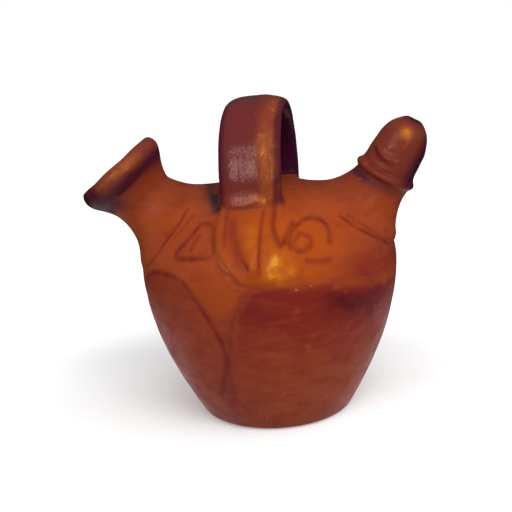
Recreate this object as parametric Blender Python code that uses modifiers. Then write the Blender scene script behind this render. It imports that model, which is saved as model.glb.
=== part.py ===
"""A glazed earthenware water jug: one fired piece with a filling mouth, a pouring spout and a strap handle.

The jug stands on z = 0 with its axis on Z. The spout leans out towards +X and the mouth towards -X.
The strap handle arches over the crown from the front shoulder (-Y) to the back. Lengths are in metres.
"""

import math

import bmesh
import bpy
from mathutils import Vector

# Body
BODY_RADIUS = 0.080
SHOULDER_HEIGHT = 0.094
CROWN_HEIGHT = 0.1465
FOOT_RADIUS = 0.0475
FOOT_ROUNDING = 0.0065
SIDE_POWER = 1.75
CROWN_RISE_POWER = 2.3
CROWN_ROUND_POWER = 1.9

# Thickness of the fired clay
WALL = 0.006
FLOOR = 0.008

# Filling mouth, whose axis leaves the body MOUTH_ROOT_DROP below the crown
MOUTH_AZIMUTH = math.radians(189)
MOUTH_ELEVATION = math.radians(51.5)
MOUTH_ROOT_DROP = 0.0200
MOUTH_LENGTH = 0.0425
MOUTH_RADIUS = 0.0292
MOUTH_WAIST_RADIUS = 0.0196
MOUTH_WAIST_DROP = 0.0255
MOUTH_FLARE_POWER = 1.6
MOUTH_BAND = 0.0078
MOUTH_LIP_ROUNDING = 0.0043
MOUTH_LIP_CREST = 0.0019
MOUTH_LIP_WALL = 0.0065
MOUTH_BORE_RADIUS = 0.0145
MOUTH_SKIRT = 0.0145
MOUTH_SKIRT_POWER = 1.6
MOUTH_SKIRT_DEPTH = 0.0114
MOUTH_SKIRT_LEAN = 0.0072

# Pouring spout: a short neck, a beaded collar and a pointed bulb with a small hole
SPOUT_AZIMUTH = math.radians(-2)
SPOUT_ELEVATION = math.radians(60)
SPOUT_ROOT_DROP = 0.0185
SPOUT_NECK = 0.0240
SPOUT_BULB = 0.0363
SPOUT_RADIUS = 0.0172
SPOUT_BULB_POWER = 2.2
SPOUT_TIP_RADIUS = 0.0045
SPOUT_TIP_CUT = 0.0007
SPOUT_COLLAR = 0.0013
SPOUT_COLLAR_WIDTH = 0.0062
SPOUT_BORE_RADIUS = 0.0112
SPOUT_HOLE_RADIUS = 0.0025
SPOUT_SKIRT = 0.0135
SPOUT_SKIRT_POWER = 1.7
SPOUT_SKIRT_DEPTH = 0.0072
SPOUT_SKIRT_LEAN = 0.0075

# Strap handle, whose legs run straight down into the body from HANDLE_FOOT_RISE above it
HANDLE_WIDTH = 0.0362
HANDLE_THICKNESS = 0.0100
HANDLE_GAP = 0.0415
HANDLE_SPAN = 0.1030
HANDLE_SHIFT = -0.0016
HANDLE_TURN = math.radians(1.6)
HANDLE_POWER = 2.3
HANDLE_EDGE_POWER = 0.7
HANDLE_LIP = 0.0015
HANDLE_FOOT_RISE = 0.0050
HANDLE_ROOT = 0.009

# Clay smeared down the body from just above the strap's feet
FRONT_SMEAR_LENGTH = 0.043
BACK_SMEAR_LENGTH = 0.030
SMEAR_TOP_RISE = 0.0025
SMEAR_HEIGHT = 0.0022
SMEAR_SPREAD = 0.0040
SMEAR_NARROWING = 0.0090
SMEAR_EDGE_SINK = 0.0005
SMEAR_SINK = 0.0030

# Ridges and finger channels of the front smear: (place across, half width, height)
FINGER_MARKS = (
    (-0.0150, 0.0028, 0.0012),
    (-0.0078, 0.0034, -0.0020),
    (0.0020, 0.0036, 0.0020),
    (0.0078, 0.0012, -0.0020),
    (0.0118, 0.0026, -0.0010),
    (0.0172, 0.0016, -0.0016),
)

# Lines drawn in the wet clay. A ring stands a gap beyond its neck's foot, shifted towards the crown
GROOVE_WIDTH = 0.0028
GROOVE_DEPTH = 0.0010
MOUTH_RING_GAPS = (0.0044, 0.0079)
MOUTH_RING_SHIFT = 0.0050
SPOUT_RING_GAPS = (0.0020, 0.0055)
SPOUT_RING_SHIFT = 0.0075

# Strokes of the shoulder's two motifs: runs of (azimuth in degrees, percent of the rise from shoulder to crown)
MOTIF_STROKES = (
    ((-120, 70), (-126, 42), (-123, 36), (-107, 40), (-106, 48), (-110, 65), (-120, 70)),
    ((-117, 61), (-118, 46)),
    ((-66, 69), (-73, 53)),
    ((-70, 48), (-70, 55), (-67, 65), (-61, 70), (-54, 72), (-49, 69), (-48, 61), (-51, 48)),
    ((-64, 59), (-60, 53), (-62, 46), (-67, 44), (-69, 51), (-64, 59)),
    ((-64, 34), (-54, 32)),
)
STROKE_STEP = 0.008

BODY_SIDES = 54
HOLLOW_SIDES = 28
MOUTH_SIDES = 32
SPOUT_SIDES = 24
STRAP_SIDES = 20
STRAP_STEPS = 22


def ease(value, power):
    return max(0.0, value) ** power


def body_radius(z, inset=0.0):
    """Radius of the body at height z, or of the hollow inside it when inset is the wall."""
    radius = BODY_RADIUS - inset
    if z <= SHOULDER_HEIGHT:
        taper = BODY_RADIUS - FOOT_RADIUS
        return radius - taper * ease(1 - z / SHOULDER_HEIGHT, SIDE_POWER)
    rise = (z - SHOULDER_HEIGHT) / (CROWN_HEIGHT - inset - SHOULDER_HEIGHT)
    return radius * ease(1 - min(1.0, rise) ** CROWN_RISE_POWER, 1 / CROWN_ROUND_POWER)


def body_height(radius):
    """Height at which the body, above its shoulder, has this radius."""
    rise = ease(1 - (radius / BODY_RADIUS) ** CROWN_ROUND_POWER, 1 / CROWN_RISE_POWER)
    return SHOULDER_HEIGHT + (CROWN_HEIGHT - SHOULDER_HEIGHT) * rise


def body_profile(inset, bottom, crown_steps, side_steps, corner_steps=3):
    """Half outline from the crown down to the middle of the base, as (radius, height)."""
    crown = CROWN_HEIGHT - inset
    points = [(0.0, crown)]
    for i in range(1, crown_steps + 1):
        angle = math.pi / 2 * (1 - i / crown_steps)
        rise = math.sin(angle) ** (2 / CROWN_RISE_POWER)
        z = SHOULDER_HEIGHT + (crown - SHOULDER_HEIGHT) * rise
        points.append((body_radius(z, inset), z))
    slope = math.atan((BODY_RADIUS - FOOT_RADIUS) * SIDE_POWER / SHOULDER_HEIGHT)
    corner = bottom + FOOT_ROUNDING * (1 - math.sin(slope))
    for i in range(1, side_steps + 1):
        z = SHOULDER_HEIGHT + (corner - SHOULDER_HEIGHT) * i / side_steps
        points.append((body_radius(z, inset), z))
    centre = points[-1][0] - FOOT_ROUNDING * math.cos(slope)
    for i in range(1, corner_steps + 1):
        angle = slope + (math.pi / 2 - slope) * i / corner_steps
        z = bottom + FOOT_ROUNDING * (1 - math.sin(angle))
        points.append((centre + FOOT_ROUNDING * math.cos(angle), z))
    points.append((0.0, bottom))
    return points


def add_object(name, mesh, collection):
    item = bpy.data.objects.new(name, mesh)
    collection.objects.link(item)
    return item


def as_cutter(item):
    item.hide_render = True
    item.display_type = "WIRE"
    return item


def turned(name, profile, sides, collection, place=None):
    """A turned shape: a half outline spun about its own Z, which place carries to where it belongs."""
    mesh = bpy.data.meshes.new(name)
    points = [(r, 0.0, z) for r, z in profile]
    mesh.from_pydata(points, [(i, i + 1) for i in range(len(points) - 1)], [])
    item = add_object(name, mesh, collection)
    spin = item.modifiers.new("Spin", "SCREW")
    spin.steps = spin.render_steps = sides
    spin.use_merge_vertices = True
    spin.merge_threshold = 0.00005
    if place:
        origin, axis = place
        item.location = origin
        item.rotation_euler = axis.to_track_quat("Z", "Y").to_euler()
    return item


def skin(name, rings, collection):
    """A closed loft over rings that have the same number of points, flat across both ends."""
    count = len(rings[0])
    faces = [tuple(reversed(range(count)))]
    for k in range(len(rings) - 1):
        for i in range(count):
            j = (i + 1) % count
            faces.append((k * count + i, k * count + j, (k + 1) * count + j, (k + 1) * count + i))
    faces.append(tuple((len(rings) - 1) * count + i for i in range(count)))
    mesh = bpy.data.meshes.new(name)
    mesh.from_pydata([p for ring in rings for p in ring], [], faces)
    shape = bmesh.new()
    shape.from_mesh(mesh)
    bmesh.ops.recalc_face_normals(shape, faces=shape.faces)
    shape.to_mesh(mesh)
    shape.free()
    return add_object(name, mesh, collection)


def tube(name, points, collection, closed=False):
    """A round rod along the points, as a closed mesh."""
    curve = bpy.data.curves.new(name, "CURVE")
    curve.dimensions = "3D"
    curve.bevel_depth = GROOVE_WIDTH / 2
    curve.bevel_resolution = 1
    curve.use_fill_caps = not closed
    path = curve.splines.new("POLY")
    path.points.add(len(points) - 1)
    path.use_cyclic_u = closed
    for knot, point in zip(path.points, points):
        knot.co = (*point, 1.0)
    source = add_object(name + "_path", curve, collection)
    bpy.context.view_layer.update()
    mesh = bpy.data.meshes.new_from_object(source.evaluated_get(bpy.context.evaluated_depsgraph_get()))
    shape = bmesh.new()
    shape.from_mesh(mesh)
    bmesh.ops.remove_doubles(shape, verts=shape.verts, dist=0.00002)
    shape.to_mesh(mesh)
    shape.free()
    bpy.data.objects.remove(source)
    return as_cutter(add_object(name, mesh, collection))


def direction(azimuth, elevation):
    level = math.cos(elevation)
    return Vector((level * math.cos(azimuth), level * math.sin(azimuth), math.sin(elevation)))


def neck_place(azimuth, elevation, root_drop, length):
    """The point at the given length along a neck, whose root is on the body, and the neck's direction."""
    root_height = CROWN_HEIGHT - root_drop
    root = Vector((math.cos(azimuth), math.sin(azimuth), 0.0)) * body_radius(root_height)
    root.z = root_height
    axis = direction(azimuth, elevation)
    return root + axis * length, axis


def mouth_place():
    return neck_place(MOUTH_AZIMUTH, MOUTH_ELEVATION, MOUTH_ROOT_DROP, MOUTH_LENGTH)


def spout_place():
    return neck_place(SPOUT_AZIMUTH, SPOUT_ELEVATION, SPOUT_ROOT_DROP, SPOUT_NECK)


def sides_of(axis):
    """Two directions square to a neck's axis: towards the crown and across."""
    across = axis.cross(Vector((0, 0, 1))).normalized()
    return across.cross(axis).normalized(), across


def neck_rings(place, stations, sides):
    """Circles square to the axis, from (distance along it, radius, lean towards the crown)."""
    origin, axis = place
    inward, across = sides_of(axis)
    rings = []
    for along, radius, lean in stations:
        centre = origin + axis * along + inward * lean
        angles = [2 * math.pi * i / sides for i in range(sides)]
        rings.append([centre + radius * (math.cos(a) * inward + math.sin(a) * across) for a in angles])
    return rings


def mouth_stations():
    """The mouth's outside, down from the rounded lip through the flare and the waist to the skirt."""
    stations = []
    lip_steps, flare_steps, skirt_steps = 4, 6, 7
    for i in range(lip_steps + 1):
        angle = math.pi / 2 * i / lip_steps
        along = MOUTH_LIP_CREST - (MOUTH_LIP_ROUNDING + MOUTH_LIP_CREST) * (1 - math.cos(angle))
        stations.append((along, MOUTH_RADIUS - MOUTH_LIP_ROUNDING * (1 - math.sin(angle)), 0.0))
    flare = MOUTH_RADIUS - MOUTH_WAIST_RADIUS
    for i in range(flare_steps + 1):
        share = i / flare_steps
        along = -MOUTH_BAND - (MOUTH_WAIST_DROP - MOUTH_BAND) * share
        stations.append((along, MOUTH_WAIST_RADIUS + flare * ease(1 - share, MOUTH_FLARE_POWER), 0.0))
    bottom = MOUTH_LENGTH + MOUTH_SKIRT_DEPTH
    for i in range(1, skirt_steps + 1):
        share = i / skirt_steps
        along = -MOUTH_WAIST_DROP - (bottom - MOUTH_WAIST_DROP) * share
        radius = MOUTH_WAIST_RADIUS + MOUTH_SKIRT * share**MOUTH_SKIRT_POWER
        stations.append((along, radius, MOUTH_SKIRT_LEAN * share))
    return stations


def spout_bulb_radius(along):
    share = along / (SPOUT_BULB + SPOUT_TIP_CUT)
    return SPOUT_RADIUS * ease(1 - share**SPOUT_BULB_POWER, 1 / SPOUT_BULB_POWER)


def spout_stations():
    """The spout's outside, down from its blunt tip over the bulb, the collar and the waist to the skirt."""
    stations = []
    bulb_steps, collar_steps, skirt_steps = 10, 4, 7
    for i in range(bulb_steps):
        along = SPOUT_BULB * math.cos(math.pi / 2 * i / bulb_steps)
        stations.append((along, max(SPOUT_TIP_RADIUS, spout_bulb_radius(along)), 0.0))
    half = SPOUT_COLLAR_WIDTH / 2
    for i in range(collar_steps + 1):
        place = 1 - 2 * i / collar_steps
        radius = SPOUT_RADIUS + SPOUT_COLLAR * math.cos(math.pi / 2 * place)
        stations.append((half * place, radius, 0.0))
    bottom = SPOUT_NECK + SPOUT_SKIRT_DEPTH
    for i in range(1, skirt_steps + 1):
        share = i / skirt_steps
        radius = SPOUT_RADIUS + SPOUT_SKIRT * share**SPOUT_SKIRT_POWER
        stations.append((-half - (bottom - half) * share, radius, SPOUT_SKIRT_LEAN * share))
    return stations


def mouth_bore(collection):
    """The way in: wide at the lip, narrow at the waist and straight into the hollow."""
    rim = MOUTH_RADIUS - MOUTH_LIP_WALL
    flare = rim - MOUTH_BORE_RADIUS
    steps = 5
    profile = [(0.0, 2 * WALL), (rim + MOUTH_LIP_ROUNDING / 2, 2 * WALL), (rim, -MOUTH_LIP_ROUNDING / 2)]
    for i in range(1, steps + 1):
        radius = MOUTH_BORE_RADIUS + flare * ease(1 - i / steps, MOUTH_FLARE_POWER)
        profile.append((radius, -MOUTH_WAIST_DROP * i / steps))
    bottom = -MOUTH_LENGTH - 3 * WALL
    profile += [(MOUTH_BORE_RADIUS, bottom), (0.0, bottom)]
    return as_cutter(turned("mouth_bore", profile, HOLLOW_SIDES, collection, mouth_place()))


def spout_bore(collection):
    """The way out: straight up the neck, narrowing inside the bulb to the pouring hole."""
    narrowing = SPOUT_BULB - WALL
    steps = 4
    profile = [(0.0, SPOUT_BULB + WALL), (SPOUT_HOLE_RADIUS, SPOUT_BULB + WALL), (SPOUT_HOLE_RADIUS, narrowing)]
    for i in range(1, steps + 1):
        along = narrowing * (1 - i / steps)
        profile.append((min(SPOUT_BORE_RADIUS, spout_bulb_radius(along) - WALL), along))
    bottom = -SPOUT_NECK - 3 * WALL
    profile += [(SPOUT_BORE_RADIUS, bottom), (0.0, bottom)]
    return as_cutter(turned("spout_bore", profile, SPOUT_SIDES, collection, spout_place()))


def handle_middle(y):
    """How far the strap's middle stands off the YZ plane at y, because the handle is turned a little."""
    return HANDLE_SHIFT - y * math.tan(HANDLE_TURN)


def handle_foot_height():
    return body_height(HANDLE_SPAN / 2) + HANDLE_FOOT_RISE


def strap_path():
    """The strap's middle line, front to back, as (y, z, outward y, outward z, lip swell)."""
    foot = handle_foot_height()
    rise = CROWN_HEIGHT + HANDLE_GAP + HANDLE_THICKNESS / 2 - foot
    half = (HANDLE_SPAN - HANDLE_THICKNESS) / 2
    path = [(-half, foot - HANDLE_ROOT, -1.0, 0.0, 0.0)]
    for i in range(STRAP_STEPS + 1):
        angle = math.pi * i / STRAP_STEPS
        sine, cosine = math.sin(angle), math.cos(angle)
        y = -half * math.copysign(abs(cosine) ** (2 / HANDLE_POWER), cosine)
        z = foot + rise * sine ** (2 / HANDLE_POWER)
        normal = Vector((-cosine / half, sine / rise)).normalized()
        path.append((y, z, normal.x, normal.y, HANDLE_LIP if i == 0 else 0.0))
    path.append((half, foot - HANDLE_ROOT, 1.0, 0.0, 0.0))
    return path


def strap(collection):
    """The handle: a thick strap with rounded edges, arching from the front shoulder to the back."""
    rings = []
    for y, z, out_y, out_z, swell in strap_path():
        ring = []
        for i in range(STRAP_SIDES):
            angle = 2 * math.pi * i / STRAP_SIDES
            cosine = math.cos(angle)
            across = HANDLE_WIDTH / 2 * math.copysign(abs(cosine) ** HANDLE_EDGE_POWER, cosine)
            out = (HANDLE_THICKNESS / 2 + swell) * math.sin(angle)
            ring.append((handle_middle(y) + across, y + out * out_y, z + out * out_z))
        rings.append(ring)
    return as_cutter(skin("strap", rings, collection))


def finger_relief(across):
    return sum(height * math.exp(-(((across - place) / half) ** 2)) for place, half, height in FINGER_MARKS)


def smear(name, side, length, marks, collection):
    """Clay drawn from the strap's foot down the body, side -1 in front and 1 behind.

    Each row runs over the body with a raised face, follows the strap's own face near the top, and sinks
    into the body at its edges and at the bottom.
    """
    rows, columns = (10, 22) if marks else (7, 8)
    strap_face = HANDLE_SPAN / 2 - SMEAR_EDGE_SINK
    middle = handle_middle(side * strap_face)
    top = handle_foot_height() + SMEAR_TOP_RISE
    rings = []
    for k in range(rows + 1):
        share = k / rows
        z = top - length * share
        half = HANDLE_WIDTH / 2 + SMEAR_SPREAD * math.sin(math.pi * share) - SMEAR_NARROWING * share**3
        row = []
        for i in range(columns + 1):
            place = 2 * i / columns - 1
            across = half * place
            edge = 1 - abs(place) ** 6
            fade = (1 - share**2) * edge
            lift = SMEAR_HEIGHT * fade - SMEAR_EDGE_SINK * (1 - fade)
            if marks:
                lift += finger_relief(across) * min(4 * share, 1 - share**2) * edge
            on_body = math.sqrt(max(0.0, body_radius(z) ** 2 - across**2))
            depth = ((on_body + lift) ** 12 + strap_face**12 * edge) ** (1 / 12)
            row.append((middle + across, side * depth, z))
        back = side * (min(abs(y) for _, y, _ in row) - SMEAR_SINK)
        rings.append(row + [(middle + half, back, z), (middle - half, back, z)])
    return as_cutter(skin(name, rings, collection))


def on_body_point(azimuth, percent):
    """Middle of the drawing tool's round tip at an azimuth in degrees and a percent of the crown's rise."""
    z = SHOULDER_HEIGHT + (CROWN_HEIGHT - SHOULDER_HEIGHT) * percent / 100
    r = body_radius(z) - GROOVE_DEPTH + GROOVE_WIDTH / 2
    return Vector((r * math.cos(math.radians(azimuth)), r * math.sin(math.radians(azimuth)), z))


def stroke(name, corners, collection):
    """A line pressed into the body through corners of (azimuth, percent), closed where it ends as it starts."""
    points = []
    for start, end in zip(corners, corners[1:]):
        length = (on_body_point(*end) - on_body_point(*start)).length
        steps = max(1, round(length / STROKE_STEP))
        for i in range(steps):
            points.append(on_body_point(*(a + (b - a) * i / steps for a, b in zip(start, end))))
    closed = corners[0] == corners[-1]
    if not closed:
        points.append(on_body_point(*corners[-1]))
    return tube(name, points, collection, closed)


def neck_ring(name, place, radius, shift, steps, collection):
    """A line pressed round a neck's foot: where a cylinder along the neck meets the body."""
    origin, axis = place
    inward, across = sides_of(axis)
    points = []
    for i in range(steps):
        angle = 2 * math.pi * i / steps
        start = origin + inward * shift + radius * (math.cos(angle) * inward + math.sin(angle) * across)
        low, high = 0.0, 2 * BODY_RADIUS
        for _ in range(40):
            middle = (low + high) / 2
            p = start - axis * middle
            inside = p.z < CROWN_HEIGHT and math.hypot(p.x, p.y) < body_radius(p.z)
            low, high = (low, middle) if inside else (middle, high)
        points.append(start - axis * (high + GROOVE_DEPTH - GROOVE_WIDTH / 2))
    return tube(name, points, collection, closed=True)


def combine(item, operation, other):
    step = item.modifiers.new(other.name, "BOOLEAN")
    step.operation = operation
    step.solver = "EXACT"
    step.object = other


def glaze():
    """Red-brown lead glaze over earthenware."""
    material = bpy.data.materials.new("glazed_clay")
    material.use_nodes = True
    surface = material.node_tree.nodes["Principled BSDF"]
    surface.inputs["Base Color"].default_value = (0.20, 0.045, 0.016, 1.0)
    surface.inputs["Roughness"].default_value = 0.22
    surface.inputs["Metallic"].default_value = 0.0
    return material


def drawn_lines(collection):
    """The rings round both necks and the strokes of the shoulder's motifs."""
    lines = []
    for k, gap in enumerate(MOUTH_RING_GAPS):
        radius = MOUTH_WAIST_RADIUS + MOUTH_SKIRT + gap
        lines.append(neck_ring(f"mouth_ring_{k}", mouth_place(), radius, MOUTH_RING_SHIFT, 20, collection))
    for k, gap in enumerate(SPOUT_RING_GAPS):
        radius = SPOUT_RADIUS + SPOUT_SKIRT + gap
        lines.append(neck_ring(f"spout_ring_{k}", spout_place(), radius, SPOUT_RING_SHIFT, 18, collection))
    for k, corners in enumerate(MOTIF_STROKES):
        lines.append(stroke(f"stroke_{k}", corners, collection))
    return lines


def build_jug():
    parts = bpy.data.collections.new("water_jug")
    cutters = bpy.data.collections.new("cutters")
    bpy.context.scene.collection.children.link(parts)
    bpy.context.scene.collection.children.link(cutters)

    jug = turned("jug", body_profile(0.0, 0.0, 10, 9), BODY_SIDES, parts)
    jug.data.materials.append(glaze())

    added = [
        as_cutter(skin("mouth_neck", neck_rings(mouth_place(), mouth_stations(), MOUTH_SIDES), cutters)),
        as_cutter(skin("spout_neck", neck_rings(spout_place(), spout_stations(), SPOUT_SIDES), cutters)),
        strap(cutters),
        smear("front_smear", -1, FRONT_SMEAR_LENGTH, True, cutters),
        smear("back_smear", 1, BACK_SMEAR_LENGTH, False, cutters),
    ]
    hollow = as_cutter(turned("hollow", body_profile(WALL, FLOOR, 7, 6), HOLLOW_SIDES, cutters))
    cut = [hollow, mouth_bore(cutters), spout_bore(cutters)] + drawn_lines(cutters)
    for item in added:
        combine(jug, "UNION", item)
    for item in cut:
        combine(jug, "DIFFERENCE", item)
    return jug


for old in list(bpy.data.objects):
    bpy.data.objects.remove(old)
build_jug()
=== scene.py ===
"""Looks of the glazed earthenware water jug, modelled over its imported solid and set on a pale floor.

The jug's surface is worked out again as one smooth shape, in millimetres: signed distances to the turned
body, the two necks, the strap and the clay smeared from it, minus the hollow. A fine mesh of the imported
solid is drawn onto that shape together with the relief that shows on the clay. Objects are in metres.
"""

import math

import bpy
import numpy as np
from mathutils import Matrix, Vector


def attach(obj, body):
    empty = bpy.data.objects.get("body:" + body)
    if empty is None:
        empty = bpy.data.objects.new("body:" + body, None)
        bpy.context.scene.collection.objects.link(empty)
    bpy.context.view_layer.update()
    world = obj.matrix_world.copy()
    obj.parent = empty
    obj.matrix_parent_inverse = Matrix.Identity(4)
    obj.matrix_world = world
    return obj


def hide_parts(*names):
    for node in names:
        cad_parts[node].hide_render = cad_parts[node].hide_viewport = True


MM = 0.001

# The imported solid's own sizes, in millimetres
BODY_RADIUS = 80.0
SHOULDER_HEIGHT = 94.0
CROWN_HEIGHT = 146.5
FOOT_RADIUS = 47.5
FOOT_ROUNDING = 6.5
SIDE_POWER = 1.75
CROWN_RISE_POWER = 2.3
CROWN_ROUND_POWER = 1.9
WALL = 6.0
FLOOR = 8.0

MOUTH_AZIMUTH, MOUTH_ELEVATION = 189.0, 51.5
MOUTH_ROOT_DROP = 20.0
MOUTH_LENGTH = 42.5
MOUTH_RADIUS = 29.2
MOUTH_WAIST_RADIUS = 19.6
MOUTH_WAIST_DROP = 25.5
MOUTH_FLARE_POWER = 1.6
MOUTH_BAND = 7.8
MOUTH_LIP_ROUNDING = 4.3
MOUTH_LIP_CREST = 1.9
MOUTH_LIP_WALL = 6.5
MOUTH_BORE_RADIUS = 14.5
MOUTH_SKIRT = 14.5
MOUTH_SKIRT_POWER = 1.6
MOUTH_SKIRT_DEPTH = 11.4
MOUTH_SKIRT_LEAN = 7.2
# Steps down the mouth's flare, and the one where the lip's rounded band ends
MOUTH_STEPS = 50
MOUTH_BAND_TURN = 17

SPOUT_AZIMUTH, SPOUT_ELEVATION = -2.0, 60.0
SPOUT_ROOT_DROP = 18.5
SPOUT_NECK = 24.0
SPOUT_BULB = 36.3
SPOUT_RADIUS = 17.2
SPOUT_BULB_POWER = 2.2
SPOUT_TIP_RADIUS = 4.5
SPOUT_TIP_CUT = 0.7
SPOUT_COLLAR = 1.3
SPOUT_COLLAR_WIDTH = 6.2
SPOUT_BORE_RADIUS = 11.2
SPOUT_HOLE_RADIUS = 2.5
SPOUT_SKIRT = 13.5
SPOUT_SKIRT_POWER = 1.7
SPOUT_SKIRT_DEPTH = 7.2
SPOUT_SKIRT_LEAN = 7.5

HANDLE_WIDTH = 36.2
HANDLE_THICKNESS = 10.0
HANDLE_GAP = 41.5
HANDLE_SPAN = 103.0
HANDLE_SHIFT = -1.6
HANDLE_TURN = 1.6
HANDLE_POWER = 2.3
HANDLE_EDGE_POWER = 0.7
HANDLE_LIP = 1.5
HANDLE_FOOT_RISE = 5.0
HANDLE_ROOT = 9.0

FRONT_SMEAR_LENGTH = 43.0
BACK_SMEAR_LENGTH = 30.0
SMEAR_TOP_RISE = 2.5
SMEAR_HEIGHT = 2.2
SMEAR_SPREAD = 4.0
SMEAR_NARROWING = 9.0
SMEAR_EDGE_SINK = 0.5
SMEAR_TOP_SINK = 2.0

# Lines drawn round the necks' feet: (radius, shift towards the crown), left out in front round this angle
MOUTH_RINGS = ((37.9, -3.8), (42.8, -3.1))
SPOUT_RINGS = ((30.0, 5.7), (33.4, 8.0))
MOUTH_RING_FRONT, SPOUT_RING_FRONT = -82.0, 112.0
RING_GAP = 62.0
RING_HALF_WIDTH = 1.2
RING_DEPTH = 0.16
RING_TINT = 0.3

# How softly neighbouring forms run into each other, and where across a neck the crown's blend takes over
NECK_BLEND = 6.5
CROWN_BLEND = 10.5
CROWN_SIDE = (-5, 18)
SMEAR_BLEND = 1.5
STRAP_BLEND = 3.0
HOLLOW_BLEND = 3.0
LIP_BLEND = 3.4
HOLE_BLEND = 1.2

# Boxes round the forms and the marks on them, as (low corner, high corner)
MOUTH_BOX = ((-130, -60, 95), (-25, 45, 200))
MOUTH_BORE_BOX = ((-125, -50, 95), (-25, 35, 205))
LIP_BOX = ((-130, -60, 120), (-50, 45, 205))
SPOUT_BOX = ((20, -55, 95), (125, 55, 205))
SPOUT_BORE_BOX = ((25, -40, 95), (120, 40, 215))
BULB_BOX = ((45, -35, 130), (115, 35, 205))
FRONT_SMEAR_BOX = ((-36, -82, 95), (34, -36, 150))
BACK_SMEAR_BOX = ((-36, 36, 105), (34, 75, 150))
STRAP_BOX = ((-38, -70, 120), (36, 70, 215))
BARE_STRAP_BOX = ((-38, -70, 141), (36, 70, 215))
FOOT_MARKS_BOX = ((-30, -82, 92), (30, -38, 158))
STAIN_BOX = ((-50, -50, 130), (-14, 8, 155))

# The fine mesh, and how far the outlines' grids of distances reach past them
VOXEL = 1.0
TRIANGLES = 186_000
PROBE = 0.22
LONGEST_STEP = 2.0
SECTION_MARGIN = 14.0

# The floor, in metres, reads as lit white paper and throws little light back, like the photograph's backdrop
FLOOR_REACH = 6.0
FLOOR_DROP = 0.0002
FLOOR_SHADE = 0.80
FLOOR_BOUNCE = 0.40
FLOOR_GLOW = 0.46
# Each soft shade on the floor as (place, inner reach, outer reach, glow in its middle)
FLOOR_SHADES = (
    ((-0.09, 0.04, 0.0), 0.03, 0.19, 0.14),
    ((0.055, 0.075, 0.0), 0.03, 0.13, 0.18),
)
# How the jug's gloss shows the floor: its colour, and (inner reach, outer reach, strength near, strength far)
FLOOR_GLEAM_COLOUR = (1.0, 0.80, 0.84)
FLOOR_GLEAM = (0.14, 0.34, 0.90, 0.02)

# The surroundings as (colour, strength): what lights the jug, what its gloss shows and what the camera sees
WHITE = (1.0, 1.0, 1.0)
SURROUNDINGS = ((WHITE, 0.78), ((1.0, 0.9, 1.0), 0.06), (WHITE, 1.0))
# Soft boxes as (name, place, size, power, colour, whether they show in the gloss alone), and what they face
LIGHTS = (
    ("key", (0.45, -0.95, 1.25), (0.9, 0.7), 12.0, WHITE, False),
    ("window", (-0.40, -1.08, 0.60), (0.26, 0.62), 3.4, (1.0, 0.68, 0.62), True),
    ("warm", (0.72, -1.18, 0.50), (0.36, 0.30), 3.2, (1.0, 0.60, 0.18), True),
)
LIGHT_TARGET = (0.0, 0.0, 0.11)

# Camera, fitted to the photograph's outline
CAMERA_PLACE = (96.0, -544.5, 235.3)
CAMERA_TARGET = (-8.47, 0.0, 97.76)
CAMERA_ROLL = -3.8
CAMERA_LENS = 63.09
SENSOR_WIDTH = 36.0


def body_radius(z, inset=0.0):
    """Radius of the turned body at heights z, or of the hollow inside it when inset is the wall."""
    radius = BODY_RADIUS - inset
    taper = BODY_RADIUS - FOOT_RADIUS
    low = radius - taper * np.maximum(0.0, 1 - z / SHOULDER_HEIGHT) ** SIDE_POWER
    rise = np.clip((z - SHOULDER_HEIGHT) / (CROWN_HEIGHT - inset - SHOULDER_HEIGHT), 0.0, 1.0)
    high = radius * np.maximum(0.0, 1 - rise**CROWN_RISE_POWER) ** (1 / CROWN_ROUND_POWER)
    return np.where(z <= SHOULDER_HEIGHT, low, high)


def body_height(radius):
    """Height at which the body, above its shoulder, has this radius."""
    rise = max(0.0, 1 - (radius / BODY_RADIUS) ** CROWN_ROUND_POWER) ** (1 / CROWN_RISE_POWER)
    return SHOULDER_HEIGHT + (CROWN_HEIGHT - SHOULDER_HEIGHT) * rise


def outline(radii, heights):
    """Half outline as (radius, height) from the pieces of each."""
    return np.stack([np.concatenate(radii), np.concatenate(heights)], axis=1)


def body_outline(inset, bottom):
    """Half outline of the body or the hollow, from the crown to the middle of the base."""
    crown = CROWN_HEIGHT - inset
    angle = np.linspace(math.pi / 2, 0.0, 120)
    crown_z = SHOULDER_HEIGHT + (crown - SHOULDER_HEIGHT) * np.sin(angle) ** (2 / CROWN_RISE_POWER)
    slope = math.atan((BODY_RADIUS - FOOT_RADIUS) * SIDE_POWER / SHOULDER_HEIGHT)
    corner = bottom + FOOT_ROUNDING * (1 - math.sin(slope))
    side_z = np.linspace(SHOULDER_HEIGHT, corner, 90)[1:]
    z = np.concatenate([crown_z, side_z])
    r = body_radius(z, inset)
    turn = np.linspace(slope, math.pi / 2, 16)[1:]
    centre = r[-1] - FOOT_ROUNDING * math.cos(slope)
    foot_r, foot_z = centre + FOOT_ROUNDING * np.cos(turn), bottom + FOOT_ROUNDING * (1 - np.sin(turn))
    return outline([r, foot_r, [0.0]], [z, foot_z, [bottom]])


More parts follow.
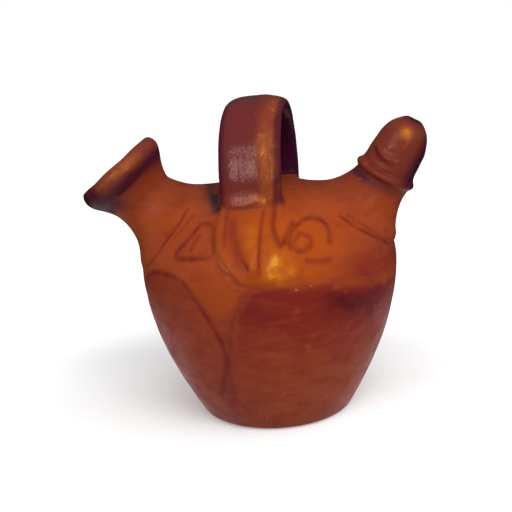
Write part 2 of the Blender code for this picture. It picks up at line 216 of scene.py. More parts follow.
def mouth_outline():
    """Half outline of the mouth's outside, as (radius, distance along its axis), down from the lip."""
    turn = np.linspace(0.0, math.pi / 2, 24)
    lip_r = MOUTH_RADIUS - MOUTH_LIP_ROUNDING * (1 - np.sin(turn))
    lip_a = MOUTH_LIP_CREST - (MOUTH_LIP_ROUNDING + MOUTH_LIP_CREST) * (1 - np.cos(turn))
    share = np.linspace(0.0, 1.0, MOUTH_STEPS)
    flare = MOUTH_RADIUS - MOUTH_WAIST_RADIUS
    flare_r = MOUTH_WAIST_RADIUS + flare * (1 - share) ** MOUTH_FLARE_POWER
    flare_a = -MOUTH_BAND - (MOUTH_WAIST_DROP - MOUTH_BAND) * share
    start = np.array((MOUTH_RADIUS, lip_a[-1]))
    corner = np.array((MOUTH_RADIUS, -MOUTH_BAND))
    end = np.array((flare_r[MOUTH_BAND_TURN], flare_a[MOUTH_BAND_TURN]))
    t = np.linspace(0.0, 1.0, 24)[:, None]
    band = (1 - t) ** 2 * start + 2 * t * (1 - t) * corner + t * t * end
    flare_r = np.concatenate([band[:, 0], flare_r[MOUTH_BAND_TURN + 1:]])
    flare_a = np.concatenate([band[:, 1], flare_a[MOUTH_BAND_TURN + 1:]])
    bottom = MOUTH_LENGTH + MOUTH_SKIRT_DEPTH
    skirt_r = MOUTH_WAIST_RADIUS + MOUTH_SKIRT * share[1:] ** MOUTH_SKIRT_POWER
    skirt_a = -MOUTH_WAIST_DROP - (bottom - MOUTH_WAIST_DROP) * share[1:]
    along = [[MOUTH_LIP_CREST], lip_a, flare_a, skirt_a, [-bottom]]
    return outline([[0.0], lip_r, flare_r, skirt_r, [0.0]], along)


def mouth_bore_outline():
    rim = MOUTH_RADIUS - MOUTH_LIP_WALL
    share = np.linspace(0.0, 1.0, 40)
    flare_r = MOUTH_BORE_RADIUS + (rim - MOUTH_BORE_RADIUS) * (1 - share) ** MOUTH_FLARE_POWER
    flare_a = -MOUTH_LIP_ROUNDING / 2 - (MOUTH_WAIST_DROP - MOUTH_LIP_ROUNDING / 2) * share
    bottom = -MOUTH_LENGTH - 3 * WALL
    top = 2 * WALL
    radii = [[0.0, rim + MOUTH_LIP_ROUNDING / 2], flare_r, [MOUTH_BORE_RADIUS, 0.0]]
    return outline(radii, [[top, top], flare_a, [bottom, bottom]])


def spout_bulb_radius(along):
    share = np.clip(along / (SPOUT_BULB + SPOUT_TIP_CUT), 0.0, 1.0)
    return SPOUT_RADIUS * (1 - share**SPOUT_BULB_POWER) ** (1 / SPOUT_BULB_POWER)


def spout_outline():
    """Half outline of the spout's outside, as (radius, distance along its axis), down from the tip."""
    half = SPOUT_COLLAR_WIDTH / 2
    bulb_a = SPOUT_BULB * np.cos(np.linspace(0.0, math.pi / 2, 70))
    bulb_a = bulb_a[bulb_a > half]
    bulb_r = np.maximum(SPOUT_TIP_RADIUS, spout_bulb_radius(bulb_a))
    place = np.linspace(1.0, -1.0, 16)
    collar_r = SPOUT_RADIUS + SPOUT_COLLAR * np.cos(math.pi / 2 * place)
    share = np.linspace(0.0, 1.0, 40)[1:]
    bottom = SPOUT_NECK + SPOUT_SKIRT_DEPTH
    skirt_r = SPOUT_RADIUS + SPOUT_SKIRT * share**SPOUT_SKIRT_POWER
    skirt_a = -half - (bottom - half) * share
    along = [[SPOUT_BULB], bulb_a, half * place, skirt_a, [-bottom]]
    return outline([[0.0], bulb_r, collar_r, skirt_r, [0.0]], along)


def spout_bore_outline():
    narrowing = SPOUT_BULB - WALL
    along = np.linspace(narrowing, 0.0, 40)
    radius = np.clip(spout_bulb_radius(along) - WALL, SPOUT_HOLE_RADIUS, SPOUT_BORE_RADIUS)
    top, bottom = SPOUT_BULB + 2 * WALL, -SPOUT_NECK - 3 * WALL
    radii = [[0.0, SPOUT_HOLE_RADIUS], radius, [SPOUT_BORE_RADIUS, 0.0]]
    return outline(radii, [[top, top], along, [bottom, bottom]])


def handle_foot_height():
    return body_height(HANDLE_SPAN / 2) + HANDLE_FOOT_RISE


def strap_line():
    """The strap's middle line over the crown as (y, z), with both legs running straight down."""
    foot = handle_foot_height()
    rise = CROWN_HEIGHT + HANDLE_GAP + HANDLE_THICKNESS / 2 - foot
    half = (HANDLE_SPAN - HANDLE_THICKNESS) / 2
    angle = np.linspace(0.0, math.pi, 181)
    y = -half * np.copysign(np.abs(np.cos(angle)) ** (2 / HANDLE_POWER), np.cos(angle))
    z = foot + rise * np.sin(angle) ** (2 / HANDLE_POWER)
    below = foot - 4 * HANDLE_ROOT
    return outline([[-half], y, [half]], [[below], z, [below]])


def distance_to_line(points, line):
    """Distance from each point to an open line of corners, in any number of dimensions."""
    best = np.full(len(points), np.inf)
    for start, end in zip(line, line[1:]):
        run = end - start
        share = np.clip(((points - start) @ run) / max(1e-9, run @ run), 0.0, 1.0)
        gap = points - start - share[:, None] * run
        np.minimum(best, np.einsum("ij,ij->i", gap, gap), out=best)
    return np.sqrt(best)


class Section:
    """Signed distance to a flat outline, kept on a grid and read back with smooth interpolation."""

    def __init__(self, line, cell, mirrored=True):
        if mirrored:
            line = np.concatenate([line, (line * (-1, 1))[::-1]])
        self.cell = cell
        self.low = line.min(axis=0) - SECTION_MARGIN
        if mirrored:
            self.low[0] = -4 * cell
        self.counts = np.ceil((line.max(axis=0) + SECTION_MARGIN - self.low) / cell).astype(int) + 1
        grid_u, grid_v = np.meshgrid(*(np.arange(n) * cell for n in self.counts), indexing="ij")
        grid = np.stack([grid_u.ravel(), grid_v.ravel()], axis=1) + self.low
        inside = np.zeros(len(grid), bool)
        for start, end in zip(line, np.roll(line, -1, axis=0)):
            crosses = (start[1] > grid[:, 1]) != (end[1] > grid[:, 1])
            reach = start[0] + (grid[:, 1] - start[1]) * (end[0] - start[0]) / (end[1] - start[1] or 1.0)
            inside ^= crosses & (grid[:, 0] < reach)
        closed = np.concatenate([line, line[:1]]) if mirrored else line
        distance = distance_to_line(grid, closed)
        self.table = np.where(inside, -distance, distance).ravel()

    def __call__(self, u, v):
        place = [(np.asarray(u) - self.low[0]) / self.cell, (np.asarray(v) - self.low[1]) / self.cell]
        beyond = np.zeros(len(u))
        weights, bases = [], []
        for axis in range(2):
            inner = np.clip(place[axis], 1.0, self.counts[axis] - 2.001)
            beyond += ((place[axis] - inner) * self.cell) ** 2
            base = inner.astype(int)
            t = inner - base
            weights.append((
                ((2 - t) * t - 1) * t / 2,
                ((3 * t - 5) * t * t + 2) / 2,
                ((4 - 3 * t) * t + 1) * t / 2,
                (t - 1) * t * t / 2,
            ))
            bases.append(base)
        value = np.zeros(len(u))
        for i in range(4):
            row = (bases[0] + i - 1) * self.counts[1] + bases[1] - 1
            across = sum(weights[1][j] * self.table[row + j] for j in range(4))
            value += weights[0][i] * across
        return value + np.sqrt(beyond)


def smooth_min(a, b, blend):
    share = np.clip(0.5 + 0.5 * (b - a) / blend, 0.0, 1.0)
    return b + (a - b) * share - blend * share * (1 - share)


def smooth_max(a, b, blend):
    return -smooth_min(-a, -b, blend)


def ramp(value, start, end):
    """Rises smoothly from 0 at start to 1 at end."""
    share = np.clip((value - start) / (end - start), 0.0, 1.0)
    return share * share * (3 - 2 * share)


def bell(value, half):
    return np.exp(-((value / half) ** 2))


class Neck:
    """A neck's own axes: distance along it, and offsets towards the crown and across."""

    def __init__(self, azimuth, elevation, root_drop, length):
        azimuth, elevation = math.radians(azimuth), math.radians(elevation)
        level = math.cos(elevation)
        self.axis = np.array([level * math.cos(azimuth), level * math.sin(azimuth), math.sin(elevation)])
        across = np.cross(self.axis, (0, 0, 1))
        self.across = across / np.linalg.norm(across)
        self.inward = np.cross(self.across, self.axis)
        height = CROWN_HEIGHT - root_drop
        radius = float(body_radius(np.array(height)))
        root = np.array([radius * math.cos(azimuth), radius * math.sin(azimuth), height])
        self.origin = root + self.axis * length

    def local(self, points):
        offset = points - self.origin
        return offset @ self.axis, offset @ self.inward, offset @ self.across

    def ring(self, radius, shift, count=84):
        """Where a cylinder along the neck, shifted towards the crown, meets the body."""
        angle = np.linspace(0.0, 2 * math.pi, count + 1)[:, None]
        circle = radius * (np.cos(angle) * self.inward + np.sin(angle) * self.across)
        start = self.origin + self.inward * shift + circle
        low, high = np.zeros((count + 1, 1)), np.full((count + 1, 1), 2 * BODY_RADIUS)
        for _ in range(40):
            middle = (low + high) / 2
            p = start - self.axis * middle
            reach = np.hypot(p[:, 0], p[:, 1])
            inside = ((p[:, 2] < CROWN_HEIGHT) & (reach < body_radius(p[:, 2])))[:, None]
            low, high = np.where(inside, low, middle), np.where(inside, middle, high)
        return start - self.axis * high


MOUTH = Neck(MOUTH_AZIMUTH, MOUTH_ELEVATION, MOUTH_ROOT_DROP, MOUTH_LENGTH)
SPOUT = Neck(SPOUT_AZIMUTH, SPOUT_ELEVATION, SPOUT_ROOT_DROP, SPOUT_NECK)
SECTIONS = {
    "body": Section(body_outline(0.0, 0.0), 1.0),
    "hollow": Section(body_outline(WALL, FLOOR), 1.0),
    "mouth": Section(mouth_outline(), 0.7),
    "mouth_bore": Section(mouth_bore_outline(), 0.7),
    "spout": Section(spout_outline(), 0.6),
    "spout_bore": Section(spout_bore_outline(), 0.6),
    "strap": Section(strap_line(), 0.8, mirrored=False),
}


def near(points, low, high):
    return np.all((points > low) & (points < high), axis=1)


def handle_middle(y):
    return HANDLE_SHIFT - y * math.tan(math.radians(HANDLE_TURN))


def strap_distance(points):
    """First-order distance to the strap, and how far out from its middle line each point lies."""
    x, y, z = points.T
    out = SECTIONS["strap"](y, z)
    across = np.abs(x - handle_middle(y)) + 1e-6
    foot = handle_foot_height()
    lip = bell(z - foot - 0.8 * np.sin(x / 5.0), 3.4) * (1 - ramp(x, 4.5, 9.5))
    swell = HANDLE_LIP * (lip - 0.25 * bell(z - foot - 8, 4)) * (y < 0)
    half_wide, half_thick = HANDLE_WIDTH / 2, HANDLE_THICKNESS / 2 + swell
    power = 2 / HANDLE_EDGE_POWER
    wide = (across / half_wide) ** power
    thick = (out / half_thick) ** 2
    size = np.sqrt(wide + thick) + 1e-9
    slope_x = power * wide / across / (2 * size)
    slope_n = thick / (np.abs(out) + 1e-6) / size
    distance = (size - 1) / np.sqrt(slope_x**2 + slope_n**2 + 1e-9)
    return smooth_max(distance, foot - HANDLE_ROOT - z, 1.0), out


def smear_distance(points, side, length):
    """Clay drawn from the strap's foot down the body, side -1 in front and 1 behind."""
    x, y, z = points.T
    strap_face = HANDLE_SPAN / 2 - SMEAR_EDGE_SINK
    across = x - handle_middle(side * strap_face)
    top = handle_foot_height() + SMEAR_TOP_RISE
    share = np.clip((top - z) / length, 0.0, 1.0)
    half = HANDLE_WIDTH / 2 + SMEAR_SPREAD * np.sin(math.pi * share) - SMEAR_NARROWING * share**3
    place = np.clip(np.abs(across) / half, 0.0, 1.0)
    edge = 1 - place**6
    fade = (1 - share**2) * edge
    lift = SMEAR_HEIGHT * fade - SMEAR_EDGE_SINK * (1 - fade)
    on_body = np.sqrt(np.maximum(1.0, body_radius(np.minimum(z, CROWN_HEIGHT - 0.01)) ** 2 - across**2))
    depth = ((on_body + lift) ** 12 + strap_face**12 * edge) ** (1 / 12)
    depth -= SMEAR_TOP_SINK * ramp(z, top - 9, top)
    lean = np.clip((z - SHOULDER_HEIGHT) / (CROWN_HEIGHT - SHOULDER_HEIGHT), 0.0, 1.0)
    face = (side * y - depth) * (1 - 0.25 * lean)
    distance = smooth_max(face, z - top, 2.5)
    distance = smooth_max(distance, np.abs(across) - half, 1.5)
    return np.maximum(distance, top - length - z)


def outer_distance(points):
    x, y, z = points.T
    distance = SECTIONS["body"](np.hypot(x, y), z)
    for name, neck, box, top, bottom, full_lean in (
        ("mouth", MOUTH, MOUTH_BOX, MOUTH_WAIST_DROP, MOUTH_LENGTH + MOUTH_SKIRT_DEPTH, MOUTH_SKIRT_LEAN),
        ("spout", SPOUT, SPOUT_BOX, SPOUT_COLLAR_WIDTH / 2, SPOUT_NECK + SPOUT_SKIRT_DEPTH, SPOUT_SKIRT_LEAN),
    ):
        here = near(points, *box)
        along, inward, across = neck.local(points[here])
        lean = full_lean * np.clip((-along - top) / (bottom - top), 0.0, 1.0)
        form = SECTIONS[name](np.hypot(inward - lean, across), along)
        blend = NECK_BLEND + (CROWN_BLEND - NECK_BLEND) * ramp(inward, *CROWN_SIDE)
        distance[here] = smooth_min(distance[here], form, blend)
    smears = ((-1, FRONT_SMEAR_LENGTH, FRONT_SMEAR_BOX), (1, BACK_SMEAR_LENGTH, BACK_SMEAR_BOX))
    for side, length, box in smears:
        here = near(points, *box)
        smear = smear_distance(points[here], side, length)
        distance[here] = smooth_min(distance[here], smear, SMEAR_BLEND)
    here = near(points, *STRAP_BOX)
    strap, _ = strap_distance(points[here])
    distance[here] = smooth_min(distance[here], strap, STRAP_BLEND)
    return distance


def inner_distance(points):
    x, y, z = points.T
    distance = SECTIONS["hollow"](np.hypot(x, y), z)
    for name, neck, box in (("mouth_bore", MOUTH, MOUTH_BORE_BOX), ("spout_bore", SPOUT, SPOUT_BORE_BOX)):
        here = near(points, *box)
        along, inward, across = neck.local(points[here])
        bore = SECTIONS[name](np.hypot(inward, across), along)
        distance[here] = smooth_min(distance[here], bore, HOLLOW_BLEND)
    return distance


def through(corners, steps=6):
    """A smooth line through given corners (Catmull-Rom)."""
    corners = np.asarray(corners, float)
    ends = np.concatenate([[2 * corners[0] - corners[1]], corners, [2 * corners[-1] - corners[-2]]])
    line = []
    for a, b, c, d in zip(ends, ends[1:], ends[2:], ends[3:]):
        for t in np.arange(steps) / steps:
            bend = (2 * a - 5 * b + 4 * c - d) * t * t + (3 * b - a - 3 * c + d) * t**3
            line.append((2 * b + (c - a) * t + bend) / 2)
    line.append(corners[-1])
    return np.array(line)


def on_body(corners):
    """Points on the body from (azimuth in degrees, height)."""
    line = through(corners)
    azimuth = np.radians(line[:, 0])
    radius = body_radius(line[:, 1])
    return np.stack([radius * np.cos(azimuth), radius * np.sin(azimuth), line[:, 1]], axis=1)


def on_skin(corners):
    """Points on the jug's outer form from (azimuth in degrees, height), found by closing in from outside."""
    line = through(corners)
    azimuth = np.radians(line[:, 0])
    heading = np.stack([np.cos(azimuth), np.sin(azimuth)], axis=1)
    low = body_radius(line[:, 1]) - 3.0
    high = low + 26.0
    for _ in range(30):
        middle = (low + high) / 2
        points = np.concatenate([heading * middle[:, None], line[:, 1:]], axis=1)
        inside = outer_distance(points) < 0
        low, high = np.where(inside, middle, low), np.where(inside, high, middle)
    return np.concatenate([heading * low[:, None], line[:, 1:]], axis=1)


# Lines drawn on the shoulder with a blunt stick, as (azimuth, height) corners
MOUTH_RING = ((-139.6, 136.0), (-137.2, 131.2), (-136.9, 125.5), (-137.9, 119.8), (-140.4, 113.4),
              (-145.4, 106.4), (-152, 101.5))
MOUTH_SECOND = ((-131.0, 133.5), (-130.9, 130.5), (-132.0, 126.5), (-133, 122.5), (-133.5, 118.5))
SPOUT_RING = ((-35.9, 129.4), (-33.4, 125.4), (-30.0, 121.1), (-25.2, 116.8), (-18.8, 112.1), (-12.6, 108.2))
SPOUT_SECOND = ((-31.3, 129.3), (-29.8, 126.6), (-27.3, 123.3), (-24.7, 119.6), (-20.1, 114.5))
TRIANGLE = ((-117, 131.0), (-120.2, 130.6), (-122, 124.1), (-126, 116.1), (-124.6, 113.2), (-122, 112.9),
            (-114, 114.0), (-109.5, 115.0))
TRIANGLE_RIGHT = ((-110, 114.8), (-107, 115.8), (-105.8, 119.2), (-109, 127.4), (-112.5, 130.2),
                  (-117, 131.0))
TRIANGLE_SMUDGE = ((-109.5, 118.5), (-112, 116.5))
TRIANGLE_STROKE = ((-117, 125.5), (-118, 118.2))
LEAF = ((-66, 130.2), (-70, 126.1), (-73, 121.8))
ARCH = ((-70, 118.8), (-70, 123.3), (-67, 127.5), (-61, 130.6), (-54, 131.6), (-49, 129.8), (-48, 125.5),
        (-51, 119.5))
LOOP = ((-64, 125.4), (-60, 122.6), (-62, 118.0), (-67, 117.1), (-69, 121.3), (-64, 125.4))
DASH = ((-64, 111.6), (-59, 110.6), (-54, 110.7))
LEFT_LOBE = ((-150, 96), (-141, 101), (-130.5, 103), (-119.5, 100), (-110, 85), (-104, 68), (-103, 53),
             (-107, 40), (-113, 27))
CENTRE_LOBE = ((-102, 50), (-100, 62), (-95.5, 83), (-91, 95), (-88.5, 97.5))

# Where the dark lobes of glaze end: their top as (azimuth, height), and two sides as (height, azimuth)
LOBE_TOP = ((-180, 92), (-150, 97), (-130.5, 103), (-119.5, 101), (-113, 92), (-104, 84), (-95, 88),
            (-90, 97.5), (-78, 99), (-60, 98), (-49, 94.5), (-40, 91), (-33, 90), (-22, 89), (0, 90),
            (60, 93), (120, 95), (180, 92))
LEFT_LOBE_SIDE = [(height, azimuth) for azimuth, height in LEFT_LOBE[2:]]
CENTRE_LOBE_SIDE = ((0, -106), (30, -104), (50, -102), (62, -100), (83, -95.5), (95, -91), (98, -88.5))

# Each line as (points in space, half width, depth, tint)
DRAWN = [
    (on_skin(MOUTH_RING), 1.25, 0.60, 0.85),
    (on_skin(MOUTH_SECOND), 1.0, 0.30, 0.45),
    (on_skin(SPOUT_RING), 1.25, 0.60, 0.85),
    (on_skin(SPOUT_SECOND), 1.0, 0.35, 0.55),
    (on_body(TRIANGLE), 1.5, 0.60, 1.0),
    (on_body(TRIANGLE_RIGHT), 1.8, 0.45, 0.66),
    (on_body(TRIANGLE_SMUDGE), 2.0, 0.15, 0.35),
    (on_body(TRIANGLE_STROKE), 1.5, 0.40, 0.70),
    (on_body(LEAF), 1.5, 0.50, 0.85),
    (on_body(ARCH), 1.5, 0.55, 0.90),
    (on_body(LOOP), 1.4, 0.45, 0.75),
    (on_body(DASH), 1.6, 0.40, 0.80),
    (on_body(LEFT_LOBE), 1.7, 0.45, 0.90),
    (on_body(CENTRE_LOBE), 2.0, 0.20, 0.60),
]
RINGS = [(MOUTH, MOUTH_RING_FRONT, MOUTH.ring(radius, shift)) for radius, shift in MOUTH_RINGS]
RINGS += [(SPOUT, SPOUT_RING_FRONT, SPOUT.ring(radius, shift)) for radius, shift in SPOUT_RINGS]

# A glossy little ridge at the left of the finger marks, as (x, z)
WET_RIDGE = ((-15.6, 113.2), (-13.4, 110.6), (-10.8, 108.4))

# Finger marks below the strap's front foot: (corners as (x, z), half width, height, gold above 0, else dark);
# the gold is mostly painted highlight
FOOT_MARKS = (
    (((-18.0, 139.6), (-11, 138.2), (-3, 138.6), (5.0, 141.0)), 1.8, -0.3, -0.30),
    (((-9.5, 131), (-8.0, 126), (-4.5, 118), (-2.0, 112)), 3.0, -0.8, -0.60),
    (((-13.6, 136), (-13.2, 128), (-12.8, 122)), 1.5, -0.3, -0.55),
    (((-16.5, 136), (-16.0, 126), (-11.5, 115), (-3.0, 103)), 2.4, 0.5, 0.10),
    (((-19, 119), (-15.4, 113.2), (-11.4, 108.6), (-3.3, 101.5)), 1.9, -0.4, -0.20),
    (((15.6, 152), (14.4, 142), (13.4, 132), (15.5, 125.5), (19, 120.5)), 1.5, -0.9, -0.75),
    (((17.4, 113), (15.6, 109.5), (16.8, 105.5)), 4.8, 0.8, 1.0),
    (((24.4, 109.4), (24.8, 107.4)), 2.4, 0.35, 1.0),
    (((0.2, 111.2), (0.7, 109.4)), 1.3, -0.8, -0.8),
    (WET_RIDGE, 1.3, 0.7, 0.0),
    (((0.3, 136), (-6.8, 124)), 0.6, -0.2, 0.3),
    (((-6.0, 101.6), (5.0, 99.4), (15.0, 101.0)), 1.9, -0.4, -0.3),
    (((4.0, 143.8), (7.0, 142.4)), 2.2, 0.4, 1.0),
    (((4.2, 119), (4.6, 111.5)), 2.1, 0.2, 1.0),
)

# The ridge below the strap's foot: where it rises and drops along x, its height, and its dark edge as (x, z)
RIDGE_RISE = (-6.0, 5.5)
RIDGE_DROP = (6.5, 8.0)
RIDGE_HEIGHT = 1.7
RIDGE_EDGE = ((7.4, 137), (7.5, 122), (7.8, 107))
# The channel that a thumb left beside it, as (x, half width, depth)
CHANNEL = (10.8, 2.7, 0.7)

# Folds and dents of the two necks and the strap: (corners in space, half width, height)
NECK_MARKS = (
    (((-69, -33, 157.5), (-74, -36, 152), (-81, -37, 147)), 1.7, -0.8),
    (((-79, -39, 158), (-73, -37.5, 157.6), (-66, -33, 158.2)), 0.8, -0.5),
    (((-91, -27, 134), (-90, -26, 135)), 2.4, 0.9),
    (((66.5, -11, 168.5), (69, -14, 164), (72, -18, 158.5), (79, -20.5, 154)), 1.3, -1.2),
    (((69.5, -14, 168.5), (72, -17, 164), (75.5, -19, 160), (82, -20.5, 157)), 1.2, 0.7),
    (((73.5, -17, 169), (76.0, -18.5, 164.5), (81, -20, 162)), 1.1, -0.8),
    (((63.5, -15, 157.5), (70, -18.5, 154.0), (78, -20.5, 150.3), (86, -17.5, 146)), 1.2, -0.9),
    (((79, -17, 178), (84, -18, 174), (86, -18.5, 168)), 1.0, -0.5),
    (((93.8, -4.6, 181.4), (96.4, -4.6, 179.8)), 1.7, 0.8),
    (((40, -24, 146), (42, -11, 144), (40, -28, 136), (52, -28, 131)), 0.5, -0.15),
)

# Smoky green-black stain against the strap's left leg, and a painted gold highlight on the bulb, in space
STAIN_LINE = ((-33, -4, 145), (-29.5, -19, 142.5), (-25, -33, 141), (-21, -44, 137.5))
BULB_GLINT = (87.8, -15.4, 173.3)

# Colours of the glaze as screen values from 0 to 255, with those of painted shade and painted highlights
GLAZE = {
    "base": (150, 62, 32),
    "thin": (164, 72, 36),
    "runs": (132, 44, 30),
    "lobe": (128, 34, 24),
    "deep": (92, 16, 24),
    "high": (114, 42, 26),
    "orange": (172, 70, 0),
    "dark blot": (112, 28, 18),
    "light blot": (174, 80, 16),
    "strap": (108, 38, 36),
    "rim": (116, 46, 36),
    # Painted shade
    "painted_plum_shade": (58, 12, 42),
    # Gold: painted highlight for the most part
    "gold": (190, 104, 8),
    # Painted glints within the gold
    "sparkle": (238, 160, 44),
    "line": (102, 18, 18),
    "stain": (54, 40, 42),
    "inside": (84, 34, 24),
    "fleck": (212, 132, 60),
    "pit": (52, 20, 16),
}


def marked(points, line, half, reach):
    """Which points lie within reach of a line, and how strongly it marks each of them."""
    here = near(points, line.min(axis=0) - reach, line.max(axis=0) + reach)
    return here, bell(distance_to_line(points[here], line), half)


def ring_mark(points, neck, front, line):
    """The same for a faint ring, which stops in front where the stronger lines are drawn."""
    here, mark = marked(points, line, RING_HALF_WIDTH, 5)
    _, inward, across = neck.local(points[here])
    turn = (np.degrees(np.arctan2(across, inward)) - front + 180) % 360 - 180
    return here, mark * ramp(np.abs(turn), RING_GAP - 8, RING_GAP + 12)


def thumb_channel(x, z):
    """The sharp-edged ridge and the smooth channel that a thumb left beside it below the strap's foot."""
    ridge = ramp(x, *RIDGE_RISE) * (1 - ramp(x, *RIDGE_DROP))
    place, half, depth = CHANNEL
    span = ramp(z, 102, 112) * (1 - ramp(z, 132, 140))
    return span * (RIDGE_HEIGHT * ridge - depth * bell(x - place, half))


def waves(points, seed, count, shortest, longest):
    """Slow, even unevenness between -1 and 1 from a few plane waves."""
    draw = np.random.default_rng(seed)
    total = np.zeros(len(points))
    for _ in range(count):
        heading = draw.normal(size=3)
        heading /= np.linalg.norm(heading)
        length = draw.uniform(shortest, longest)
        total += np.sin(points @ heading * (2 * math.pi / length) + draw.uniform(0, 2 * math.pi))
    return total / math.sqrt(count)


def relief(points):
    """Height of the clay above the turned and blended forms."""
    x, y, z = points.T
    free = ramp(z, 1.0, 9.0)
    height = free * (0.28 * waves(points, 3, 7, 42, 90) + 0.09 * waves(points, 5, 9, 13, 22))
    low_body = free * (1 - ramp(z, 120, 132))
    turned = 2 * math.pi * z / 5.6 + 1.5 * np.sin(np.arctan2(y, x)) + 2.0 * np.sin(z / 17)
    height += 0.014 * low_body * np.sin(turned)
    for line, half, depth, _ in DRAWN:
        here, mark = marked(points, line, half, 4 * half)
        height[here] -= depth * mark
    for ring in RINGS:
        here, mark = ring_mark(points, *ring)
        height[here] -= RING_DEPTH * mark
    here = near(points, *FOOT_MARKS_BOX)
    flat = points[here][:, (0, 2)]
    height[here] += thumb_channel(*flat.T)
    for corners, half, lift, _ in FOOT_MARKS:
        height[here] += lift * bell(distance_to_line(flat, through(corners, 4)), half)
    for corners, half, lift in NECK_MARKS:
        here, mark = marked(points, through(corners, 4), half, 5 * half)
        height[here] += lift * mark
    here = near(points, *BARE_STRAP_BOX)
    _, out = strap_distance(points[here])
    across = x[here] - handle_middle(y[here])
    long_marks = 0.40 * bell(across - 5.0, 4.0) + 0.12 * bell(across + 12, 4)
    knocks = 0.10 * waves(points[here], 11, 8, 9, 17)
    height[here] += ramp(out, 0.0, 2.5) * ramp(z[here], 142, 150) * (long_marks + knocks)
    here = near(points, *LIP_BOX)
    along, inward, across = MOUTH.local(points[here])
    angle = np.arctan2(across, inward)
    height[here] += bell(along + 3.0, 7.0) * (0.22 * np.sin(3 * angle + 0.6) + 0.14 * np.sin(7 * angle))
    here = near(points, *BULB_BOX)
    along, inward, across = SPOUT.local(points[here])
    angle = np.arctan2(across, inward)
    collar = bell(along - 0.6 * np.sin(2 * angle + 1.0), 2.2)
    height[here] += collar * (0.5 + 0.4 * np.sin(5 * angle + 0.4))
    height[here] += 0.22 * ramp(along, 3, 8) * waves(points[here], 13, 8, 9, 18)
    height[here] += 0.9 * bell(along - 29, 6) - 0.6 * bell(along - 7, 4)
    return height


def surface(points):
    """Signed distance to the finished jug, negative inside the clay."""
    outer = outer_distance(points)
    value = outer.copy()
    skin = outer > -4.5
    value[skin] -= relief(points[skin])
    inner = inner_distance(points)
    edge = np.where(points[:, 0] < 0, LIP_BLEND, HOLE_BLEND)
    return smooth_max(value, -inner, edge)


CORNERS = np.array([(1, 1, 1), (1, -1, -1), (-1, 1, -1), (-1, -1, 1)], float)


def slope_of(points):
    """The surface's value and slope at each point, from four readings round it."""
    values = [surface(points + PROBE * corner) for corner in CORNERS]
    slope = sum(value[:, None] * corner for value, corner in zip(values, CORNERS)) / (4 * PROBE)
    return sum(values) / 4, slope


def settle(points, rounds):
    """Moves the points onto the surface."""
    for _ in range(rounds):
        value, slope = slope_of(points)
        steep = np.maximum(0.25, np.einsum("ij,ij->i", slope, slope))
        step = -value[:, None] * slope / steep[:, None]
        length = np.linalg.norm(step, axis=1)
        step *= np.minimum(1.0, LONGEST_STEP / np.maximum(length, 1e-9))[:, None]
        points = points + step
    return points


def placed(name, data):
    """A new object, put into the scene."""
    item = bpy.data.objects.new(name, data)
    bpy.context.scene.collection.objects.link(item)
    return item


def evaluated_mesh(item):
    bpy.context.view_layer.update()
    return bpy.data.meshes.new_from_object(item.evaluated_get(bpy.context.evaluated_depsgraph_get()))


def read_points(mesh):
    flat = np.empty(len(mesh.vertices) * 3, np.float32)
    mesh.vertices.foreach_get("co", flat)
    return flat.reshape(-1, 3).astype(float) / MM


def write_points(mesh, points):
    mesh.vertices.foreach_set("co", (points * MM).astype(np.float32).ravel())
    mesh.update()


def fine_jug(node):
    """The jug's fine mesh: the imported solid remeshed, drawn onto the surface and thinned where it is flat."""
    jug = placed("glazed_jug", node.data.copy())
    remesh = jug.modifiers.new("Even mesh", "REMESH")
    remesh.mode = "VOXEL"
    remesh.voxel_size = VOXEL * MM
    relax = jug.modifiers.new("Relax", "SMOOTH")
    relax.iterations = 4
    mesh = evaluated_mesh(jug)
    jug.modifiers.clear()
    write_points(mesh, settle(read_points(mesh), 3))
    jug.data = mesh
    triangles = sum(len(face.vertices) - 2 for face in mesh.polygons)
    if triangles > TRIANGLES:
        thin = jug.modifiers.new("Thin", "DECIMATE")
        thin.ratio = TRIANGLES / triangles
        mesh = evaluated_mesh(jug)
        jug.modifiers.clear()
        jug.data = mesh
    points = settle(read_points(mesh), 2)
    points[:, 2] = np.maximum(points[:, 2], 0.0)
    write_points(mesh, points)
    _, slope = slope_of(points)
    normals = slope / np.maximum(1e-9, np.linalg.norm(slope, axis=1))[:, None]
    mesh.shade_smooth()
    mesh.normals_split_custom_set_from_vertices(normals.tolist())
    return jug, points


def curve_at(value, corners):
    """Reads a line of (place, height) corners at each value."""
    places, heights = zip(*sorted(corners))
    return np.interp(value, places, heights)


